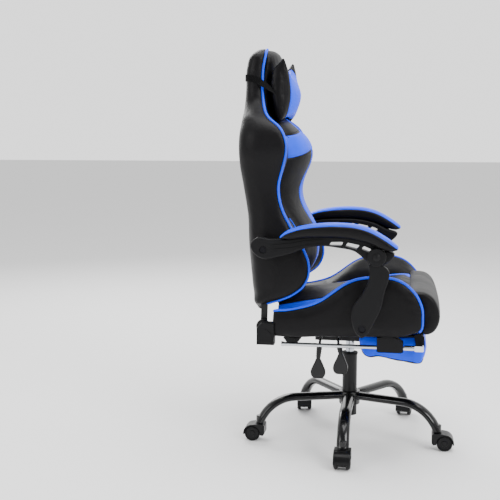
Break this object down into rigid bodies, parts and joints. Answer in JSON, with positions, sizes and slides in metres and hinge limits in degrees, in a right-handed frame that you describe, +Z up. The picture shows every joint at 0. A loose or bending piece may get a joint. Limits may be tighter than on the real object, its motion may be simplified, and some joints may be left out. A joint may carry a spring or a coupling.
{
  "type": "gaming chair",
  "caption": "High-backed swivel chair with reclining padded back, linked armrests, head pillow and a pull-out footrest on a five-legged caster base.",
  "frame": {"origin": "on the floor, on the axis of the gas lift", "axes": "+X towards the sitter's front, +Y towards the sitter's left, +Z up"},
  "size_m": [0.6898, 0.6965, 1.264],
  "materials": {
    "leg_enamel": "gloss black enamel",
    "column_paint": "satin black paint",
    "bush_plastic": "moulded black acetal",
    "caster_nylon": "moulded black nylon",
    "pin_steel": "turned steel",
    "lift_chrome": "polished chrome",
    "mech_paint": "black powder coat",
    "spring_steel": "oiled spring steel",
    "knob_plastic": "textured black plastic",
    "grip_rubber": "soft black rubber",
    "frame_paint": "black powder coat",
    "black_leather": "black grained leatherette",
    "blue_leather": "blue grained leatherette",
    "pad_leather": "blue and black grained leatherette",
    "strap_web": "black woven elastic",
    "cover_plastic": "textured black polypropylene",
    "slide_chrome": "polished chrome",
    "arm_plastic": "textured black nylon",
    "board_plastic": "black moulded board"
  },
  "bodies": {
    "base": {"base_hub": "leg_enamel", "base_legs": "leg_enamel", "gas_cylinder": "column_paint", "cylinder_bush": "bush_plastic"},
    "caster_1": {"caster_yoke_1": "caster_nylon", "caster_pins_1": "pin_steel"},
    "wheel_1a": {"caster_wheel_1a": "caster_nylon"},
    "wheel_1b": {"caster_wheel_1b": "caster_nylon"},
    "caster_2": {"caster_yoke_2": "caster_nylon", "caster_pins_2": "pin_steel"},
    "wheel_2a": {"caster_wheel_2a": "caster_nylon"},
    "wheel_2b": {"caster_wheel_2b": "caster_nylon"},
    "caster_3": {"caster_yoke_3": "caster_nylon", "caster_pins_3": "pin_steel"},
    "wheel_3a": {"caster_wheel_3a": "caster_nylon"},
    "wheel_3b": {"caster_wheel_3b": "caster_nylon"},
    "caster_4": {"caster_yoke_4": "caster_nylon", "caster_pins_4": "pin_steel"},
    "wheel_4a": {"caster_wheel_4a": "caster_nylon"},
    "wheel_4b": {"caster_wheel_4b": "caster_nylon"},
    "caster_5": {"caster_yoke_5": "caster_nylon", "caster_pins_5": "pin_steel"},
    "wheel_5a": {"caster_wheel_5a": "caster_nylon"},
    "wheel_5b": {"caster_wheel_5b": "caster_nylon"},
    "spindle": {"piston_rod": "pin_steel"},
    "lift": {"gas_piston": "lift_chrome", "mech_housing": "mech_paint", "mech_pins": "pin_steel", "tension_spring": "spring_steel"},
    "button": {"release_button": "pin_steel"},
    "knob": {"tension_knob": "knob_plastic"},
    "lock_lever": {"lock_lever_rod": "mech_paint", "lock_lever_grip": "grip_rubber"},
    "height_lever": {"height_lever_rod": "mech_paint", "height_lever_grip": "grip_rubber"},
    "seat": {"mech_top_plate": "mech_paint", "seat_frame": "frame_paint", "seat_cushion": "black_leather", "seat_bolster_right": "black_leather", "seat_bolster_left": "black_leather", "recliner_plates": "frame_paint", "recliner_covers": "cover_plastic", "footrest_guides": "cover_plastic", "support_bolts": "pin_steel"},
    "back": {"back_frame": "frame_paint", "back_shell": "black_leather", "back_pad": "black_leather", "head_pillow": "blue_leather", "head_strap": "strap_web", "arm_rear_bolts": "pin_steel"},
    "arm_right": {"arm_body_right": "arm_plastic", "arm_pad_right": "pad_leather"},
    "support_right": {"arm_support_right": "arm_plastic"},
    "arm_left": {"arm_body_left": "arm_plastic", "arm_pad_left": "pad_leather"},
    "support_left": {"arm_support_left": "arm_plastic"},
    "footrest_slide": {"footrest_rods": "slide_chrome"},
    "footrest": {"footrest_board": "board_plastic", "footrest_pad": "blue_leather"},
    "recline_lever": {"recline_lever": "knob_plastic"}
  },
  "joints": [
    {"name": "caster_swivel_1", "type": "hinge", "parent": "base", "child": "caster_1", "pos_m": [0, -0.3, 0.058], "axis": [0, 0, 1], "continuous": true},
    {"name": "wheel_spin_1a", "type": "hinge", "parent": "caster_1", "child": "wheel_1a", "pos_m": [0, -0.322, 0.025], "axis": [1, 0, 0], "continuous": true},
    {"name": "wheel_spin_1b", "type": "hinge", "parent": "caster_1", "child": "wheel_1b", "pos_m": [0, -0.322, 0.025], "axis": [1, 0, 0], "continuous": true},
    {"name": "caster_swivel_2", "type": "hinge", "parent": "base", "child": "caster_2", "pos_m": [0.28532, -0.0927, 0.058], "axis": [0, 0, 1], "continuous": true},
    {"name": "wheel_spin_2a", "type": "hinge", "parent": "caster_2", "child": "wheel_2a", "pos_m": [0.30732, -0.0927, 0.025], "axis": [0, 1, 0], "continuous": true},
    {"name": "wheel_spin_2b", "type": "hinge", "parent": "caster_2", "child": "wheel_2b", "pos_m": [0.30732, -0.0927, 0.025], "axis": [0, 1, 0], "continuous": true},
    {"name": "caster_swivel_3", "type": "hinge", "parent": "base", "child": "caster_3", "pos_m": [0.17634, 0.24271, 0.058], "axis": [0, 0, 1], "continuous": true},
    {"name": "wheel_spin_3a", "type": "hinge", "parent": "caster_3", "child": "wheel_3a", "pos_m": [0.17863, 0.26459, 0.025], "axis": [-0.9945, 0.1045, 0], "continuous": true},
    {"name": "wheel_spin_3b", "type": "hinge", "parent": "caster_3", "child": "wheel_3b", "pos_m": [0.17863, 0.26459, 0.025], "axis": [-0.9945, 0.1045, 0], "continuous": true},
    {"name": "caster_swivel_4", "type": "hinge", "parent": "base", "child": "caster_4", "pos_m": [-0.17634, 0.24271, 0.058], "axis": [0, 0, 1], "continuous": true},
    {"name": "wheel_spin_4a", "type": "hinge", "parent": "caster_4", "child": "wheel_4a", "pos_m": [-0.17902, 0.26454, 0.025], "axis": [-0.9925, -0.1219, 0], "continuous": true},
    {"name": "wheel_spin_4b", "type": "hinge", "parent": "caster_4", "child": "wheel_4b", "pos_m": [-0.17902, 0.26454, 0.025], "axis": [-0.9925, -0.1219, 0], "continuous": true},
    {"name": "caster_swivel_5", "type": "hinge", "parent": "base", "child": "caster_5", "pos_m": [-0.28532, -0.0927, 0.058], "axis": [0, 0, 1], "continuous": true},
    {"name": "wheel_spin_5a", "type": "hinge", "parent": "caster_5", "child": "wheel_5a", "pos_m": [-0.30732, -0.0927, 0.025], "axis": [0, -1, 0], "continuous": true},
    {"name": "wheel_spin_5b", "type": "hinge", "parent": "caster_5", "child": "wheel_5b", "pos_m": [-0.30732, -0.0927, 0.025], "axis": [0, -1, 0], "continuous": true},
    {"name": "spindle_swivel", "type": "hinge", "parent": "base", "child": "spindle", "pos_m": [0, 0, 0.08], "axis": [0, 0, 1], "continuous": true},
    {"name": "seat_height", "type": "slide", "parent": "spindle", "child": "lift", "axis": [0, 0, 1], "range_m": [0, 0.08]},
    {"name": "tension_turn", "type": "hinge", "parent": "lift", "child": "knob", "pos_m": [-0.112, 0.022, 0.342], "axis": [1, 0, 0], "continuous": true},
    {"name": "height_lever_lift", "type": "hinge", "parent": "lift", "child": "height_lever", "pos_m": [-0.028, -0.03, 0.352], "axis": [-1, 0, 0], "range_deg": [0, 8], "stiffness_Nm_per_rad": 1.5},
    {"name": "button_press", "type": "slide", "parent": "lift", "child": "button", "axis": [0, 0, -1], "range_m": [0, 0.0047]},
    {"name": "lock_lever_lift", "type": "hinge", "parent": "lift", "child": "lock_lever", "pos_m": [-0.081, -0.03, 0.352], "axis": [-1, 0, 0], "range_deg": [0, 8]},
    {"name": "seat_rock", "type": "hinge", "parent": "lift", "child": "seat", "pos_m": [0.025, 0, 0.366], "axis": [0, -1, 0], "range_deg": [0, 8], "deforming": ["tension_spring"]},
    {"name": "back_recline", "type": "hinge", "parent": "seat", "child": "back", "pos_m": [-0.2526, 0, 0.4072], "axis": [0, -1, 0], "range_deg": [0, 60]},
    {"name": "arm_pivot_right", "type": "hinge", "parent": "back", "child": "arm_right", "pos_m": [-0.2434, 0, 0.6526], "axis": [0, -1, 0], "range_deg": [-56, 0]},
    {"name": "support_pivot_right", "type": "hinge", "parent": "seat", "child": "support_right", "pos_m": [0.0532, 0, 0.427], "axis": [0, -1, 0], "range_deg": [0, 67]},
    {"name": "arm_pivot_left", "type": "hinge", "parent": "back", "child": "arm_left", "pos_m": [-0.2434, 0, 0.6526], "axis": [0, -1, 0], "range_deg": [-56, 0]},
    {"name": "support_pivot_left", "type": "hinge", "parent": "seat", "child": "support_left", "pos_m": [0.0532, 0, 0.427], "axis": [0, -1, 0], "range_deg": [0, 67]},
    {"name": "footrest_pull", "type": "slide", "parent": "seat", "child": "footrest_slide", "axis": [1, 0, 0], "range_m": [0, 0.27]},
    {"name": "footrest_flip", "type": "hinge", "parent": "footrest_slide", "child": "footrest", "pos_m": [0.225, 0, 0.352], "axis": [0, -1, 0], "range_deg": [0, 181]},
    {"name": "recline_lever_pull", "type": "hinge", "parent": "seat", "child": "recline_lever", "pos_m": [-0.2526, 0, 0.4072], "axis": [0, -1, 0], "range_deg": [0, 30], "stiffness_Nm_per_rad": 0.8}
  ],
  "couplings": [
    {"joint": "button_press", "follows": "height_lever_lift", "m_per_rad": 0.032945},
    {"joint": "footrest_flip", "follows": "footrest_pull", "rad_per_m": 11.636},
    {"joint": "arm_pivot_right", "follows": "back_recline", "ratio": -0.9231},
    {"joint": "support_pivot_right", "follows": "back_recline", "ratio": 1.1008},
    {"joint": "arm_pivot_left", "follows": "back_recline", "ratio": -0.9231},
    {"joint": "support_pivot_left", "follows": "back_recline", "ratio": 1.1008}
  ]
}
